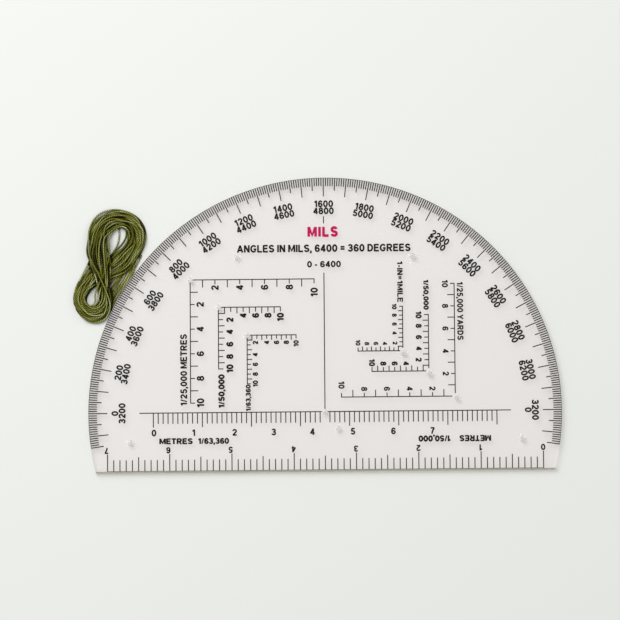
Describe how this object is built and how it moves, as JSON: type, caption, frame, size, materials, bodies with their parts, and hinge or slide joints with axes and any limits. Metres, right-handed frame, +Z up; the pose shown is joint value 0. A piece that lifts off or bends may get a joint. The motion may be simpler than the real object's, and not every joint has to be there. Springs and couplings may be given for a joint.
{
  "type": "map protractor",
  "caption": "Semicircular clear plastic map protractor divided in mils, with map scales, corner grids and drilled holes, and a hank of thin cord beside it.",
  "frame": {"origin": "middle of the plate's bounding box, on the plane of the plate's underside", "axes": "+X along the straight edge, towards the zero of its scale; +Y from the straight edge to the top of the arc; +Z up, out of the printed face"},
  "size_m": [0.16, 0.0954, 0.0035],
  "materials": {
    "clear_plastic": "clear polished sheet with cut edges",
    "printing_ink": "thin screen-printed ink",
    "cord": "twisted and waxed thin cord, olive green"
  },
  "bodies": {
    "root": {"plate": "clear_plastic", "mil_ring": "printing_ink", "centre_line": "printing_ink", "upper_line": "printing_ink", "base_scale_left": "printing_ink", "base_scale_right": "printing_ink", "edge_scale": "printing_ink", "grid_25000_metres_across": "printing_ink", "grid_25000_metres_along": "printing_ink", "grid_50000_metres": "printing_ink", "grid_63360_metres": "printing_ink", "grid_25000_yards_across": "printing_ink", "grid_25000_yards_along": "printing_ink", "grid_50000_yards": "printing_ink", "grid_inch_to_mile": "printing_ink", "cord_hank": "cord", "cord_tail": "cord"}
  },
  "joints": []
}
